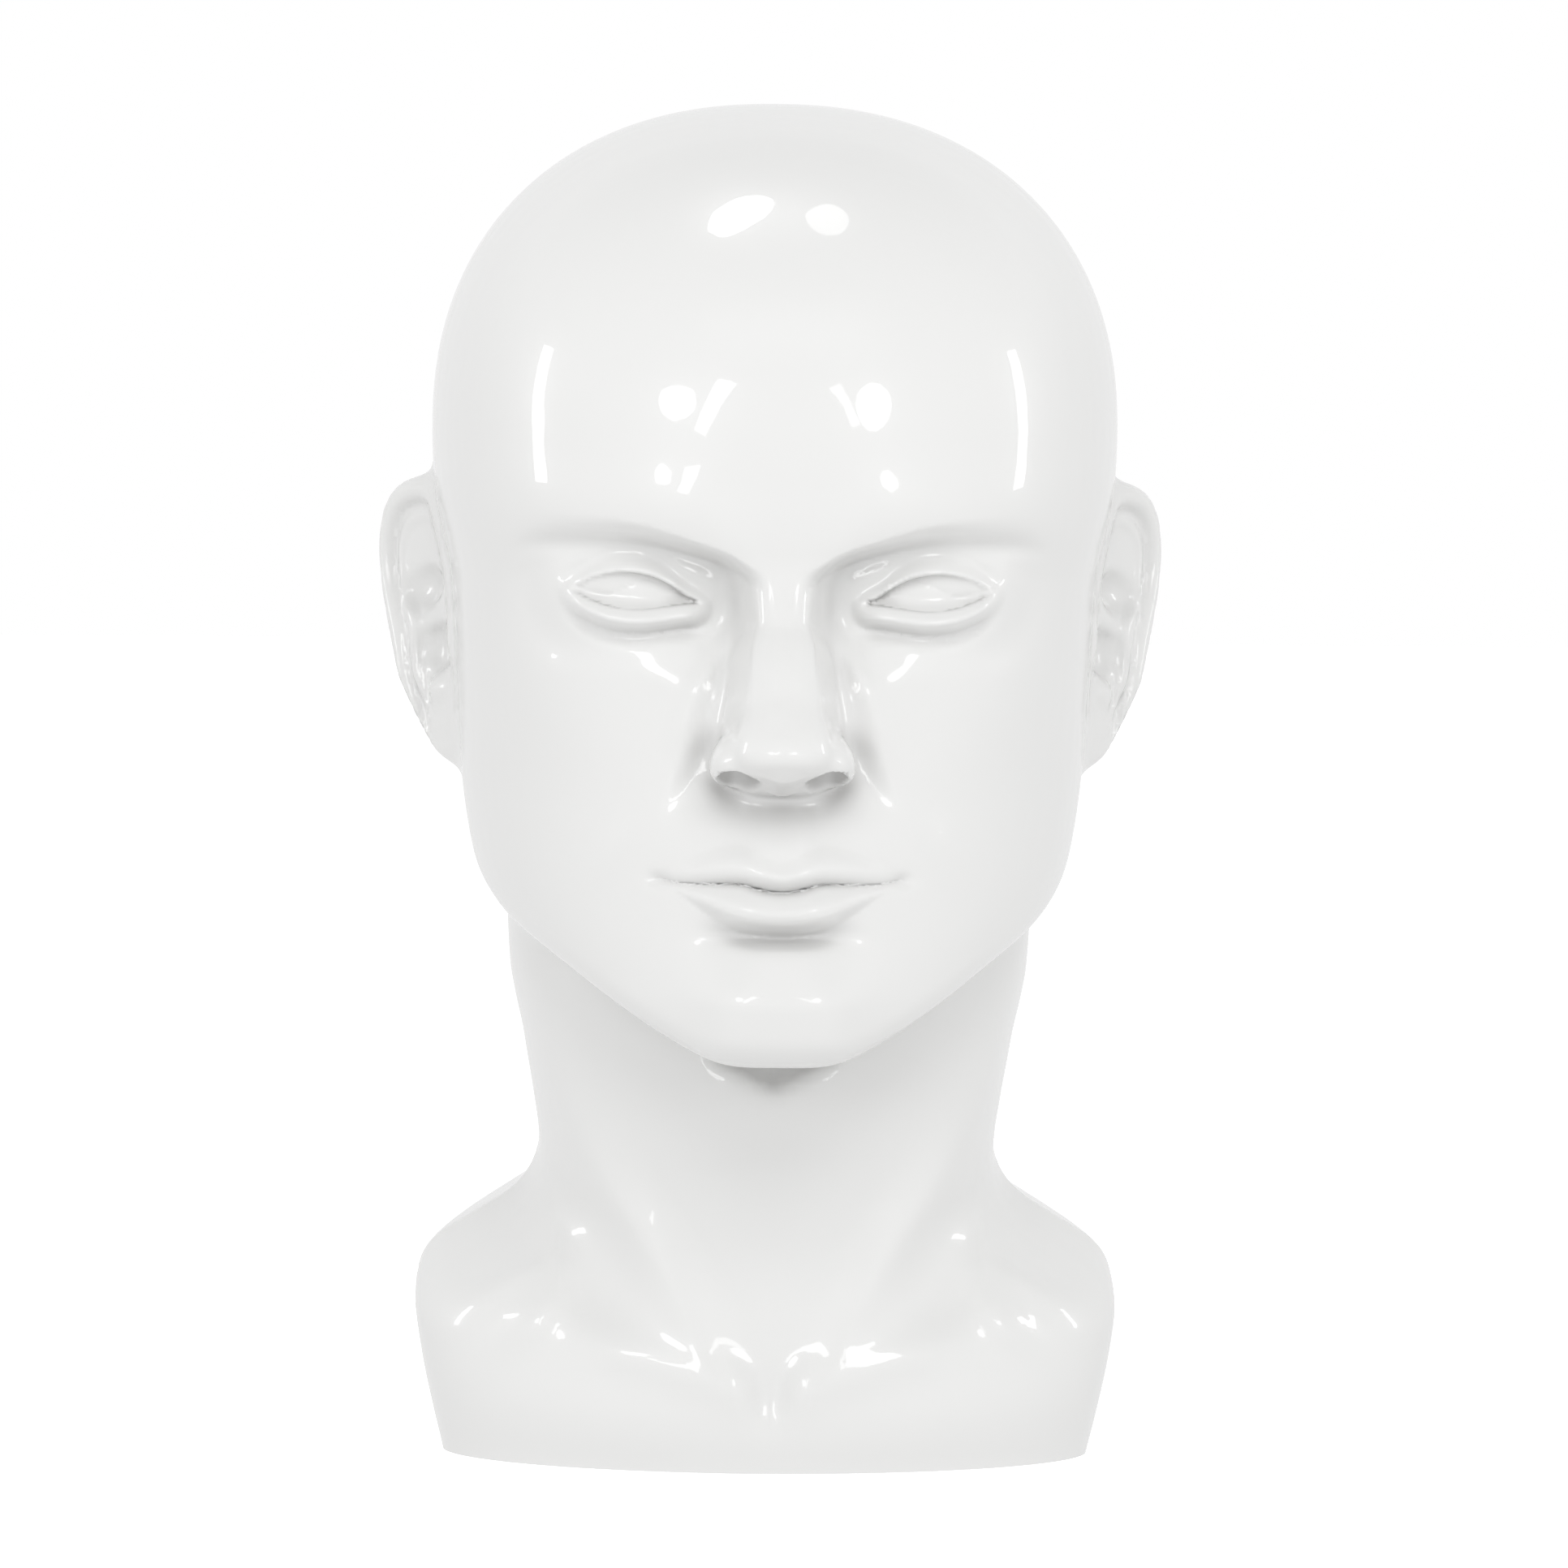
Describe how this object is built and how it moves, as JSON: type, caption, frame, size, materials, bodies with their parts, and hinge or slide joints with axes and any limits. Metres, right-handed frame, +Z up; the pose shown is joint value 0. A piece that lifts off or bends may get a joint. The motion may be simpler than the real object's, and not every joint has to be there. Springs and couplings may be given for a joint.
{
  "type": "mannequin head",
  "caption": "Glossy white male mannequin head with a sculpted face and ears, on a neck and collarbone base cut flat below.",
  "frame": {"origin": "middle of the bounding box on the flat underside", "axes": "+Z up through the crown, the face looks along -Y, +X to the right of someone who looks at the face"},
  "size_m": [0.1846, 0.2128, 0.3155],
  "materials": {
    "shell": "high-gloss white lacquer over a smooth moulded shell"
  },
  "bodies": {
    "root": {"mannequin_head": "shell"}
  },
  "joints": []
}
